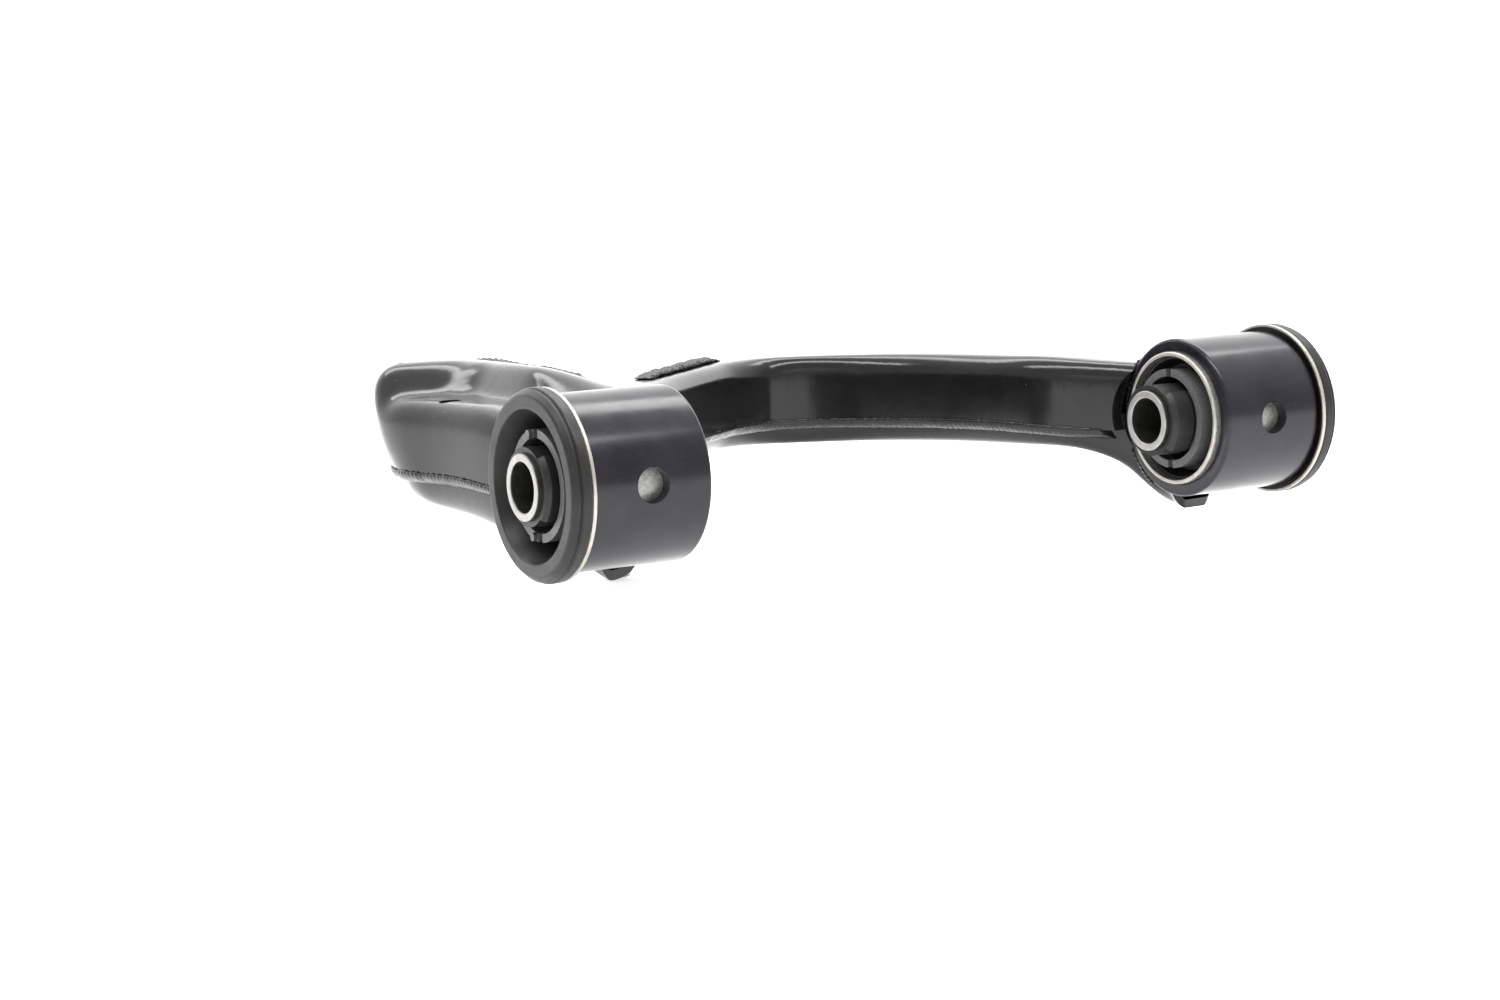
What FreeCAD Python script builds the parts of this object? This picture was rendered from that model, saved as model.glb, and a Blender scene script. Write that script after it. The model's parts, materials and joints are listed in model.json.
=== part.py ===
import FreeCAD, Part
import math
import os

# Stamped-steel suspension control arm: a boxed wishbone with two pivot bushings
# and a ball joint.  Units are millimetres.
# Frame: the origin is the centre of the front bushing, +X runs along the common
# bushing axis to the rear bushing, +Y points to the ball joint, +Z is up.

V = FreeCAD.Vector
X_AXIS = V(1, 0, 0)
Y_AXIS = V(0, 1, 0)
Z_AXIS = V(0, 0, 1)
ORIGIN = V(0, 0, 0)

# ---- driving dimensions: pivots -------------------------------------------
BUSHING_SPACING = 222.0
SLEEVE_RADIUS = 25.0
SLEEVE_BORE_RADIUS = 21.0
SLEEVE_LENGTH = 37.0
SLEEVE_HOLE_RADIUS = 5.0

CAN_WALL = 1.4
CAN_INNER_END = 20.6          # the end away from the flange
FLANGE_RADIUS = 27.1
PAD_RADIUS = 27.2
FLANGE_THICKNESS = 1.2

TUBE_RADIUS = 9.5
TUBE_BORE_RADIUS = 7.1
TUBE_FLANGE_END = -27.6
FRONT_TUBE_INNER_END = 27.2
REAR_TUBE_INNER_END = 30.8
RUNNING_GAP = 0.05

RING_INNER_RADIUS = 13.3
RING_OUTER_RADIUS = 15.7
RING_SPLIT_ANGLE = 9.0
RING_FLANGE_END = -22.6
RING_INNER_END = 21.4
RING_NUB_RADIUS = 1.2
HUB_SHORT_OF_TUBE = 1.4        # the rubber stops this far from the tube's ends
PAD_OUTER_FACE = -25.4

# ---- driving dimensions: pressed shells -----------------------------------
SHEET = 3.0
LAP_GAP = 0.1                 # between the two shells' walls
LAP_HEIGHT = 5.0              # how far the lower shell reaches up inside
SEAM_HEIGHT = -2.6
TOP_HEIGHT = 19.0
FALL_START = 8.0              # the top falls away from the open U, from here
FALL_SLOPE = 0.075
FALL_REACH = 45.0
SHOULDER_LEAN = 5.0           # the shoulder's wall leans in towards the seam
LEDGE_TO_CREST = 9.6
BOTTOM_HEIGHT = -11.2
SLEEVE_SINK = 13.8            # how much deeper the bottom is at the sleeves
TOP_CORNER = 6.0
SHOULDER_CORNER = 8.5
BOTTOM_CORNER = 9.0
RIB_DEPTH = 5.6
RIB_FLAT = 5.4                # half width of a rib's flat bottom
RIB_FLANK = 4.8
FRONT_RIB_X = 9.8
REAR_RIB_X = BUSHING_SPACING - 5.4
CUT_GAP = 0.05

# ---- driving dimensions: welds --------------------------------------------
# Section of a seam bead: how far in from the upper shell's wall, and how far
# above that shell's lower edge.
BEAD_FACE = [(-0.12, 0.9), (-0.8, 0.6), (-1.05, -0.3), (-0.5, -1.5), (1.2, -2.7), (2.98, -3.3)]
BEAD_ROOT = [(-0.12, 0.7), (-0.12, 0.3), (-0.12, -0.1), (0.6, -0.1), (2.8, -0.2), (2.98, -2.9)]
SLEEVE_BEAD_RADIUS = 1.0
SLEEVE_BEAD_RING = SLEEVE_RADIUS + 0.5
SLEEVE_BEAD_TOP = SLEEVE_RADIUS + 2.5
SADDLE_LOW_ANGLE = -58.0
SADDLE_TOP_ANGLE = 40.0
SADDLE_HALF = 17.3            # from the sleeve's middle to the beads at its ends

LEDGE_HOLE = (-15.0, 70.0, 3.25)    # x, y, radius
CREST_HOLE = (-13.5, 108.0, 1.2)
REAR_HOLE = (164.5, 117.0, 3.5)

STATIONS = 56
TOP_POINTS = 18

# Plan of the arm, from the front sleeve round the apex to the rear sleeve:
# pairs of points, on the edge of the open U and on the outer edge.
PLAN_INNER = [
    (18, 11), (19.5, 21), (27.5, 39), (46.5, 57), (70, 82), (101, 109), (115, 118),
    (128, 121), (141, 115), (156, 100), (169, 78), (176.5, 54), (187, 36),
    (201.5, 21), (202.5, 11),
]
BALL_X = 95.0
BALL_Y = 176.0
BOSS_RADIUS = 34.0
BOSS_POINTS = [
    (BALL_X + BOSS_RADIUS * math.cos(math.radians(angle)),
     BALL_Y + BOSS_RADIUS * math.sin(math.radians(angle)))
    for angle in (135, 90, 47)
]
PLAN_OUTER = [
    (-16.5, 11), (-17, 21), (-19.5, 42), (-23, 74), (-25, 104), (8, 141),
    *BOSS_POINTS, (178, 155), (227, 110), (239, 72),
    (239.5, 42), (238.5, 21), (238.5, 11),
]

# ---- driving dimensions: ball joint ---------------------------------------
BALL_Z = -5.0
BALL_RADIUS = 12.5
LINER_RADIUS = 14.8
CUP_RADIUS = 20.0
CUP_FLANGE_RADIUS = 24.0
CUP_FLANGE_TOP = BOTTOM_HEIGHT - 0.3
CUP_FLANGE_BOTTOM = CUP_FLANGE_TOP - 3.2
CUP_TOP = 11.0
COLLAR_RADIUS = 19.0
COLLAR_BOTTOM = BALL_Z - 18.5
NECK_RADIUS = 6.3
SEAT_RADIUS = 8.0
SEAT_TOP = -29.5
SEAT_BOTTOM = -35.0
TAPER_BOTTOM = -46.0
THREAD_RADIUS = 6.0
STUD_END = -57.5

# ---- driving dimensions: slot welds over the apex ---------------------------
# Each is a filled slot: its two ends along the middle, its width and height.
FRONT_SLOT = ((45.0, 99.0), (25.0, 134.0))
REAR_SLOT = ((58.0, 84.5), (112.0, 133.0))
SLOT_WIDTH = 6.5
SLOT_HEIGHT = 2.0
SLOT_END_HEIGHT = 0.8
SLOT_GAP = 0.15               # left between a weld and the sheet


# ---- small helpers --------------------------------------------------------
def smooth(t):
    """0 below t = 0, 1 above t = 1, with a soft step between them."""
    t = max(0.0, min(1.0, t))
    return t * t * (3 - 2 * t)


def mix(a, b, t):
    return a + (b - a) * t


def arc_edge(a, b, c):
    return Part.Arc(a, b, c).toShape()


def rounded_wire(corners, place):
    """Closed wire through (along, out, radius) corners, each rounded."""
    count = len(corners)
    starts = []
    ends = []
    middles = []
    for i, (u, w, radius) in enumerate(corners):
        here = V(u, w, 0)
        before = V(*corners[i - 1][:2], 0) - here
        after = V(*corners[(i + 1) % count][:2], 0) - here
        if radius <= 0:
            starts.append(here)
            ends.append(here)
            middles.append(None)
            continue
        half = before.getAngle(after) / 2
        reach = radius / math.tan(half)
        before.normalize()
        after.normalize()
        bisector = before + after
        bisector.normalize()
        starts.append(here + before * reach)
        ends.append(here + after * reach)
        middles.append(here + bisector * (radius / math.sin(half) - radius))
    edges = []
    for i in range(count):
        if middles[i] is not None:
            edges.append(arc_edge(place(starts[i]), place(middles[i]), place(ends[i])))
        nxt = (i + 1) % count
        if ends[i].distanceToPoint(starts[nxt]) > 1e-6:
            edges.append(Part.makeLine(place(ends[i]), place(starts[nxt])))
    return Part.Wire(edges)


def lathe_x(corners):
    """Turned part about the X axis from (x, radius, corner radius) points."""
    wire = rounded_wire(corners, lambda p: V(p.x, 0, p.y))
    return Part.Face(wire).revolve(ORIGIN, X_AXIS, 360)


def lathe_ball(corners):
    """Turned part about the ball-joint axis from (z, radius, corner radius)."""
    wire = rounded_wire(corners, lambda p: V(BALL_X + p.y, BALL_Y, p.x))
    return Part.Face(wire).revolve(V(BALL_X, BALL_Y, 0), Z_AXIS, 360)


def ring_sector(x0, x1, r0, r1, mid_angle, half_angle):
    """Block of a ring about X, centred on an angle from +Y towards +Z."""
    outer = Part.makeCylinder(r1, x1 - x0, V(x0, 0, 0), X_AXIS)
    ring = outer.cut(Part.makeCylinder(r0, x1 - x0, V(x0, 0, 0), X_AXIS))
    reach = 2 * r1
    corners = [V(x0, 0, 0)]
    for step in (-1, 0, 1):
        angle = math.radians(mid_angle + step * half_angle)
        corners.append(V(x0, reach * math.cos(angle), reach * math.sin(angle)))
    corners.append(corners[0])
    wedge = Part.Face(Part.makePolygon(corners)).extrude(V(x1 - x0, 0, 0))
    return ring.common(wedge)


def one_solid(shape):
    """The largest solid of a shape, without slivers."""
    return max(shape.Solids, key=lambda s: s.Volume)


# ---- the form of the arm --------------------------------------------------
def plan_curve(points):
    count = len(points)
    parameters = [i / (count - 1) for i in range(count)]
    curve = Part.BSplineCurve()
    curve.interpolate(Points=[V(x, y, 0) for x, y in points], Parameters=parameters)
    return curve


INNER_CURVE = plan_curve(PLAN_INNER)
OUTER_CURVE = plan_curve(PLAN_OUTER)
U_EDGE = [INNER_CURVE.value(i / 80) for i in range(81)]


def wall_lean(x, y):
    return SHOULDER_LEAN * smooth((y - 82) / 22) * (1 - smooth((x + 8) / 50))


def plan_pair(s, inset, at_seam=False):
    """Points on the inner and outer edge at station s, moved in by inset."""
    inner = INNER_CURVE.value(s)
    outer = OUTER_CURVE.value(s)
    inner_along = V(*INNER_CURVE.tangent(s)[0])
    outer_along = V(*OUTER_CURVE.tangent(s)[0])
    inner_out = V(-inner_along.y, inner_along.x, 0)
    outer_in = V(outer_along.y, -outer_along.x, 0)
    lean = wall_lean(outer.x, outer.y) if at_seam else 0
    return inner + inner_out * inset, outer + outer_in * (inset + lean)


def distance_from_u(x, y):
    return min(math.hypot(x - p.x, y - p.y) for p in U_EDGE)


def top_height(x, y):
    """Height of the upper skin: low at the sleeves, a ledge along the front
    edge, a crest beside it that falls off to the open U, and a fall to the apex."""
    base = TOP_HEIGHT - 3 * (1 - smooth((y - 18) / 34))
    run = min(FALL_REACH, max(0.0, distance_from_u(x, y) - FALL_START))
    base -= FALL_SLOPE * run * smooth((x - 38) / 40)
    crest_foot = mix(-3, -38, smooth((y - 86) / 24))
    rise = smooth((x - crest_foot) / 9)
    start = smooth((y - 32) / 24)
    reach = mix(38, 50, smooth((y - 60) / 40))
    fall = 1 - smooth((x - 4) / reach)
    return base + LEDGE_TO_CREST * rise * start * fall


def bottom_height(x, y):
    """Height of the lower skin, deep and ribbed where it meets the sleeves."""
    rearward = smooth((x - 60) / 90)
    reach = mix(50, 20, rearward)
    sink = SLEEVE_SINK * math.exp(-(max(0.0, y - 10) / reach) ** mix(1.3, 2.4, rearward))
    rib_x = FRONT_RIB_X if x < BUSHING_SPACING / 2 else REAR_RIB_X
    across = 1 - smooth((abs(x - rib_x) - RIB_FLAT) / RIB_FLANK)
    along = 1 - smooth((y - 16) / 42)
    return BOTTOM_HEIGHT - sink - RIB_DEPTH * across * along


def seam_height(y):
    return SEAM_HEIGHT - 3 * (1 - smooth((y - 15) / 45))


def shoulder_amount(x, y):
    """1 on the outer corner of the front leg, where the top edge is rounder."""
    return smooth((y - 88) / 22) * (1 - smooth((x - 20) / 40))


def section(s, inset, side):
    """Points across the arm at station s, from the U's wall to the outer wall.
    side +1 is the upper skin, -1 the lower one."""
    inner, outer = plan_pair(s, inset, side < 0)
    width = (outer - inner).Length
    across = (outer - inner) / width
    lean = wall_lean(outer.x, outer.y) if side > 0 else 0
    sheet_inset = inset if side > 0 else inset - SHEET - LAP_GAP
    if side > 0:
        corner_in = max(2.0, TOP_CORNER - sheet_inset)
        round_out = mix(TOP_CORNER, SHOULDER_CORNER, shoulder_amount(outer.x, outer.y))
        corner_out = max(2.0, round_out - sheet_inset)
    else:
        corner_in = max(2.0, BOTTOM_CORNER - sheet_inset)
        corner_out = corner_in
    start = seam_height(inner.y) + (0 if side > 0 else LAP_HEIGHT)
    end = seam_height(outer.y) + (0 if side > 0 else LAP_HEIGHT)

    def skin(a):
        spot = inner + across * a
        if side > 0:
            return top_height(spot.x, spot.y) - sheet_inset
        return bottom_height(spot.x, spot.y) + sheet_inset

    places = []
    edge_in = skin(0) - side * corner_in
    edge_out = skin(width) - side * corner_out
    for t in (0, 0.33, 0.67, 1):
        places.append((0, mix(start, edge_in, t)))
    for turn in (22.5, 45, 67.5):
        angle = math.radians(turn)
        a = corner_in * (1 - math.cos(angle))
        places.append((a, skin(a) - side * corner_in * (1 - math.sin(angle))))
    for i in range(TOP_POINTS + 1):
        a = mix(corner_in, width - corner_out, i / TOP_POINTS)
        places.append((a, skin(a)))
    for turn in (67.5, 45, 22.5):
        angle = math.radians(turn)
        a = width - corner_out * (1 - math.cos(angle))
        places.append((a, skin(a) - side * corner_out * (1 - math.sin(angle))))
    for t in (1, 0.75, 0.5, 0.25, 0):
        places.append((width - lean * (1 - t) ** 2, mix(end, edge_out, t)))
    return [inner + across * a + V(0, 0, z) for a, z in places]


def knots_for(count):
    """Even, clamped knots of a cubic with this many poles."""
    knots = list(range(count - 2))
    return knots, [4] + [1] * (len(knots) - 2) + [4]


def skin_face(grid):
    """Smooth cubic surface drawn over a close grid of points."""
    u_knots, u_mults = knots_for(len(grid))
    v_knots, v_mults = knots_for(len(grid[0]))
    surface = Part.BSplineSurface()
    surface.buildFromPolesMultsKnots(grid, u_mults, v_mults, u_knots, v_knots,
                                     False, False, 3, 3)
    return surface


def edge_curve(surface, side):
    """Boundary of a surface as an edge: side is u0, u1, v0 or v1."""
    u0, u1, v0, v1 = surface.bounds()
    if side == "u0":
        return surface.uIso(u0).toShape()
    if side == "u1":
        return surface.uIso(u1).toShape()
    if side == "v0":
        return surface.vIso(v0).toShape()
    return surface.vIso(v1).toShape()


def slab_between(upper, lower):
    """Solid between two skins laid out on the same grid of points."""
    top = skin_face(upper)
    bottom = skin_face(lower)
    faces = [top.toShape(), bottom.toShape()]
    for side in ("u0", "u1", "v0", "v1"):
        faces.append(Part.makeRuledSurface(edge_curve(top, side), edge_curve(bottom, side)))
    shell = Part.makeCompound(faces)
    shell.sewShape()
    solid = Part.Solid(shell.Shells[0])
    if solid.Volume < 0:
        solid.reverse()
    return solid


def pressed_shell(side):
    inset = 0 if side > 0 else SHEET + LAP_GAP
    stations = [i / STATIONS for i in range(STATIONS + 1)]
    outside = [section(s, inset, side) for s in stations]
    inside = [section(s, inset + SHEET, side) for s in stations]
    return slab_between(outside, inside)


def cylinder_round_x(centre_x, radius):
    """Cylinder on the bushing axis, well longer than a sleeve."""
    length = 2 * SLEEVE_LENGTH
    return Part.makeCylinder(radius, length, V(centre_x - length / 2, 0, 0), X_AXIS)


def space_round_sleeves(radius):
    """What the two sleeves take out of the pieces that meet them."""
    return cylinder_round_x(0, radius).fuse(cylinder_round_x(BUSHING_SPACING, radius))


def vertical_hole(x, y, radius, z0, z1):
    return Part.makeCylinder(radius, z1 - z0, V(x, y, z0), Z_AXIS)


def upper_shell():
    shell = pressed_shell(1)
    shell = shell.cut(space_round_sleeves(SLEEVE_RADIUS + CUT_GAP))
    for x, y, radius in (LEDGE_HOLE, CREST_HOLE, REAR_HOLE):
        shell = shell.cut(vertical_hole(x, y, radius, TOP_HEIGHT / 2, 2 * TOP_HEIGHT))
    return one_solid(shell)


def lower_shell():
    shell = pressed_shell(-1)
    shell = shell.cut(space_round_sleeves(SLEEVE_RADIUS + CUT_GAP))
    shell = shell.cut(vertical_hole(BALL_X, BALL_Y, CUP_RADIUS + CUT_GAP, -40, 20))
    return one_solid(shell)


# ---- welds ----------------------------------------------------------------
def seam_bead(outer_side):
    """Fillet bead in the step where the upper shell's edge meets the lower
    shell's wall, along the U or, with outer_side 1, along the outer edge."""
    faces = []
    roots = []
    for i in range(STATIONS + 1):
        for profile, rows in ((BEAD_FACE, faces), (BEAD_ROOT, roots)):
            rows.append([])
            for inset, rise in profile:
                spot = plan_pair(i / STATIONS, inset, True)[outer_side]
                rows[-1].append(V(spot.x, spot.y, seam_height(spot.y) + rise))
    bead = slab_between(faces, roots)
    return one_solid(bead.cut(space_round_sleeves(SLEEVE_BEAD_TOP)))


def sleeve_weld(centre_x, shells):
    """Beads round the saddle where the shells meet a sleeve."""
    pieces = []
    left = centre_x - SADDLE_HALF
    for x in (left, centre_x + SADDLE_HALF):
        circle = Part.makeCircle(SLEEVE_BEAD_RADIUS, V(x, SLEEVE_BEAD_RING, 0), Z_AXIS)
        disc = Part.Face(Part.Wire(circle))
        arc = disc.revolve(ORIGIN, X_AXIS, SADDLE_TOP_ANGLE - SADDLE_LOW_ANGLE)
        arc.rotate(ORIGIN, X_AXIS, SADDLE_LOW_ANGLE)
        pieces.append(arc)
    angle = math.radians(SADDLE_TOP_ANGLE)
    top = V(left, SLEEVE_BEAD_RING * math.cos(angle), SLEEVE_BEAD_RING * math.sin(angle))
    pieces.append(Part.makeCylinder(SLEEVE_BEAD_RADIUS + 0.3, 2 * SADDLE_HALF, top, X_AXIS))
    bead = pieces[0].fuse(pieces[1:])
    bead = bead.cut(cylinder_round_x(centre_x, SLEEVE_RADIUS + CUT_GAP))
    for shell in shells:
        bead = bead.cut(shell)
    return Part.makeCompound([solid for solid in bead.Solids if solid.Volume > 5])


def slot_weld(ends, shell):
    """Raised weld that fills a slot in the upper shell, laid on its surface."""
    count = 24
    first = V(*ends[0], 0)
    along = V(*ends[1], 0) - first
    across = V(-along.y, along.x, 0) / along.Length * SLOT_WIDTH
    upper = []
    lower = []
    for i in range(count + 1):
        upper.append([])
        lower.append([])
        height = mix(SLOT_END_HEIGHT, SLOT_HEIGHT, smooth(min(i, count - i) / 3))
        for j in range(9):
            share = j / 8 - 0.5
            spot = first + along * (i / count) + across * share
            level = top_height(spot.x, spot.y)
            crown = height * (1 - 2.4 * share ** 4 - 1.6 * share ** 2)
            lower[-1].append(V(spot.x, spot.y, level - 1))
            upper[-1].append(V(spot.x, spot.y, level + crown))
    raised = shell.copy()
    raised.translate(V(0, 0, SLOT_GAP))
    return one_solid(slab_between(upper, lower).cut(raised))


# ---- pivot bushings, drawn with the flange at -X ---------------------------
def bushing_sleeve():
    half = SLEEVE_LENGTH / 2
    tube = lathe_x([
        (-half, SLEEVE_BORE_RADIUS, 0.4), (half, SLEEVE_BORE_RADIUS, 0.4),
        (half, SLEEVE_RADIUS, 1.0), (-half, SLEEVE_RADIUS, 1.0),
    ])
    hole = Part.makeCylinder(SLEEVE_HOLE_RADIUS, 12, V(0, -15, 0), -Y_AXIS)
    return tube.cut(hole)


def bushing_can():
    face = -SLEEVE_LENGTH / 2 - 0.02
    inner = SLEEVE_BORE_RADIUS - CAN_WALL
    return lathe_x([
        (face - FLANGE_THICKNESS, inner, 0.7), (CAN_INNER_END, inner, 0.3),
        (CAN_INNER_END, SLEEVE_BORE_RADIUS, 0.7), (face, SLEEVE_BORE_RADIUS, 0),
        (face, FLANGE_RADIUS, 0.3), (face - FLANGE_THICKNESS, FLANGE_RADIUS, 0.3),
    ])


def inner_tube(inner_end):
    return lathe_x([
        (TUBE_FLANGE_END, TUBE_BORE_RADIUS, 0.5), (inner_end, TUBE_BORE_RADIUS, 0.5),
        (inner_end, TUBE_RADIUS, 0.5), (TUBE_FLANGE_END, TUBE_RADIUS, 0.5),
    ])


def inter_ring():
    """Two half rings moulded into the rubber, split at top and bottom. One has
    a locating nub at each of its corners, on the end by the flange."""
    half = 90 - RING_SPLIT_ANGLE / 2
    halves = []
    for middle in (0, 180):
        halves.append(ring_sector(RING_FLANGE_END, RING_INNER_END,
                                  RING_INNER_RADIUS, RING_OUTER_RADIUS, middle, half))
    radius = (RING_INNER_RADIUS + RING_OUTER_RADIUS) / 2
    for side in (1, -1):
        angle = math.radians(side * (half - 6))
        centre = V(RING_FLANGE_END - 1.2, radius * math.cos(angle), radius * math.sin(angle))
        nub = Part.makeCylinder(RING_NUB_RADIUS, 3, centre, X_AXIS)
        halves[0] = halves[0].fuse(nub)
    return Part.makeCompound([solid for piece in halves for solid in piece.Solids])


def bushing_rubber(tube_end):
    """Rubber spring, its thrust pad on the flange and its kidney-shaped voids."""
    first = TUBE_FLANGE_END + HUB_SHORT_OF_TUBE
    last = tube_end - HUB_SHORT_OF_TUBE
    inner = SLEEVE_BORE_RADIUS - CAN_WALL - 0.02
    hub = TUBE_RADIUS + RUNNING_GAP
    flange_face = -SLEEVE_LENGTH / 2 - 0.02 - FLANGE_THICKNESS - 0.02
    body = lathe_x([
        (PAD_OUTER_FACE, 21.6, 0.5), (-15.0, 17.0, 0.5), (-14.0, 13.2, 0.5),
        (-19.0, 12.9, 0.3), (-19.8, 12.1, 0.2), (-20.8, 12.6, 0.3),
        (first + 1.6, 12.4, 0.8), (first, 11.4, 0.4), (first, hub, 0),
        (last, hub, 0), (last, 11.4, 0.4), (last - 1.6, 12.4, 0.8), (21.8, 12.6, 0.3),
        (20.8, 12.1, 0.2), (20.0, 12.9, 0.3), (13.0, 13.2, 0.3), (12.5, 17.2, 0.5),
        (18.0, inner - 0.9, 0.4), (18.0, inner, 0),
        (flange_face, inner, 0), (flange_face, PAD_RADIUS, 0.5), (-22.6, PAD_RADIUS, 0.6),
        (-23.0, PAD_RADIUS - 0.8, 0.2), (-23.5, PAD_RADIUS - 0.3, 0.4),
        (PAD_OUTER_FACE, PAD_RADIUS - 1.9, 1.2),
    ])
    voids = [ring_sector(-40, 40, RING_INNER_RADIUS - 2.2, RING_INNER_RADIUS + 0.01, a, 42)
             for a in (90, 270)]
    voids += [ring_sector(-40, 40, RING_OUTER_RADIUS - 0.01, inner - 1.2, a, 48)
              for a in (0, 180)]
    for space in voids + [inter_ring()]:
        body = body.cut(space)
    return Part.makeCompound([solid for solid in body.Solids if solid.Volume > 50])


def rear_of(shape):
    """The rear bushing is the front one turned to face the other way."""
    turned = shape.mirror(ORIGIN, X_AXIS)
    turned.translate(V(BUSHING_SPACING, 0, 0))
    return turned


# ---- ball joint -----------------------------------------------------------
def sphere_at_ball(radius):
    return Part.makeSphere(radius, V(BALL_X, BALL_Y, BALL_Z))


def ball_housing():
    """Forged cup pressed up through the lower shell."""
    mouth = COLLAR_RADIUS - 2.8
    lip = BALL_Z - 9.0
    cup = lathe_ball([
        (COLLAR_BOTTOM, mouth, 0.4), (lip, 11.9, 0.3), (lip + 2, 6.0, 0), (BALL_Z, 6.0, 0),
        (BALL_Z + 13.6, 6.0, 0), (BALL_Z + 13.6, 16.0, 0.3),
        (CUP_TOP, 16.0, 0.3), (CUP_TOP, CUP_RADIUS, 1.2), (CUP_FLANGE_TOP, CUP_RADIUS, 0),
        (CUP_FLANGE_TOP, CUP_FLANGE_RADIUS, 0.8),
        (CUP_FLANGE_BOTTOM, CUP_FLANGE_RADIUS, 0.8), (CUP_FLANGE_BOTTOM, COLLAR_RADIUS, 0.5),
        (COLLAR_BOTTOM, COLLAR_RADIUS, 0.6),
    ])
    cavity = sphere_at_ball(LINER_RADIUS + RUNNING_GAP)
    keep_above = vertical_hole(BALL_X, BALL_Y, 30, lip, lip + 60)
    cup = cup.cut(cavity.common(keep_above))
    bore = vertical_hole(BALL_X, BALL_Y, LINER_RADIUS + RUNNING_GAP, BALL_Z, BALL_Z + 13.7)
    return one_solid(cup.cut(bore))


def housing_cover():
    low = BALL_Z + 13.62
    return lathe_ball([
        (low, 0, 0), (low, 15.95, 0.3), (low + 1.5, 15.95, 0.3), (low + 2.0, 10.0, 1.0),
        (low + 2.0, 0, 0),
    ])


def seat_liner():
    """Plastic bearing shell with a ball-shaped inside and outside."""
    body = sphere_at_ball(LINER_RADIUS).cut(sphere_at_ball(BALL_RADIUS + RUNNING_GAP))
    band = vertical_hole(BALL_X, BALL_Y, 30, BALL_Z - 7.5, BALL_Z + 10.5)
    return one_solid(body.common(band))


def ball_stud():
    """Ball, neck, boot seat, taper and threaded end, forged in one piece."""
    stem = lathe_ball([
        (BALL_Z - 5, 0, 0), (BALL_Z - 5, NECK_RADIUS, 0), (SEAT_TOP + 3.0, NECK_RADIUS, 2.0),
        (SEAT_TOP, SEAT_RADIUS, 0.8), (SEAT_BOTTOM, SEAT_RADIUS, 0.4),
        (SEAT_BOTTOM - 0.6, 7.3, 0.1), (TAPER_BOTTOM, 6.58, 0.2),
        (TAPER_BOTTOM - 0.6, THREAD_RADIUS, 0), (STUD_END + 1.2, THREAD_RADIUS, 0),
        (STUD_END, THREAD_RADIUS - 1.2, 0), (STUD_END, 0, 0),
    ])
    stud = sphere_at_ball(BALL_RADIUS).fuse(stem)
    return one_solid(stud.removeSplitter())


def dust_boot():
    """Rubber gaiter from the cup's collar to the stud's seat."""
    grip = COLLAR_RADIUS + 0.05
    foot = SEAT_RADIUS + 0.05
    top = CUP_FLANGE_BOTTOM - 0.1
    wall = 1.5
    return lathe_ball([
        (top, grip, 0.2), (top, 22.2, 0.8), (top - 3.2, 22.2, 0.8), (top - 4.4, 20.9, 0.4),
        (top - 7.4, 22.6, 1.6), (-28.4, 13.6, 3.0), (-29.4, 11.0, 0.6), (-33.2, 11.0, 0.8),
        (-33.2, foot, 0.3), (-29.6, foot, 0.3), (-27.2, foot + 4.4, 2.0),
        (top - 7.6, 22.6 - 1.6 * wall, 1.4), (top - 4.8, grip + 0.2, 0.2),
    ])


def upper_clip():
    """Round-wire ring that holds the boot's top on the collar."""
    middle = CUP_FLANGE_BOTTOM - 1.7
    return Part.makeTorus(22.2 + 0.85, 0.8, V(BALL_X, BALL_Y, middle), Z_AXIS)


def lower_clip():
    return Part.makeTorus(11.0 + 0.75, 0.7, V(BALL_X, BALL_Y, -31.3), Z_AXIS)


# ---- the assembly ---------------------------------------------------------
def build():
    upper = upper_shell()
    lower = lower_shell()
    shells = (upper, lower)
    nodes = {
        "upper_shell": upper,
        "lower_shell": lower,
        "inner_seam_weld": seam_bead(0),
        "outer_seam_weld": seam_bead(1),
        "front_sleeve_weld": sleeve_weld(0, shells),
        "rear_sleeve_weld": sleeve_weld(BUSHING_SPACING, shells),
        "front_slot_weld": slot_weld(FRONT_SLOT, upper),
        "rear_slot_weld": slot_weld(REAR_SLOT, upper),
        "ball_joint_housing": ball_housing(),
        "ball_joint_cover": housing_cover(),
        "ball_seat_liner": seat_liner(),
        "ball_stud": ball_stud(),
        "dust_boot": dust_boot(),
        "boot_upper_clip": upper_clip(),
        "boot_lower_clip": lower_clip(),
    }
    bushing = {
        "sleeve": bushing_sleeve(),
        "bushing_can": bushing_can(),
        "bushing_inter_ring": inter_ring(),
    }
    for name, shape in bushing.items():
        nodes["front_" + name] = shape
        nodes["rear_" + name] = rear_of(shape)
    nodes["front_bushing_rubber"] = bushing_rubber(FRONT_TUBE_INNER_END)
    nodes["rear_bushing_rubber"] = rear_of(bushing_rubber(REAR_TUBE_INNER_END))
    nodes["front_inner_tube"] = inner_tube(FRONT_TUBE_INNER_END)
    nodes["rear_inner_tube"] = rear_of(inner_tube(REAR_TUBE_INNER_END))
    return nodes


def main():
    os.makedirs("parts", exist_ok=True)
    for name, shape in build().items():
        shape.exportStep(os.path.join("parts", name + ".step"))
        box = shape.BoundBox
        print(f"{name:24s} valid {shape.isValid()} solids {len(shape.Solids)}"
              f" volume {shape.Volume:9.1f}  x {box.XMin:.1f}..{box.XMax:.1f}"
              f"  y {box.YMin:.1f}..{box.YMax:.1f}  z {box.ZMin:.1f}..{box.ZMax:.1f}")


main()
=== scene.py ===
"""Looks of the suspension control arm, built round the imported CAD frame."""

import json
import math

import bpy
import numpy as np
from mathutils import Matrix, Vector, noise


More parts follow.
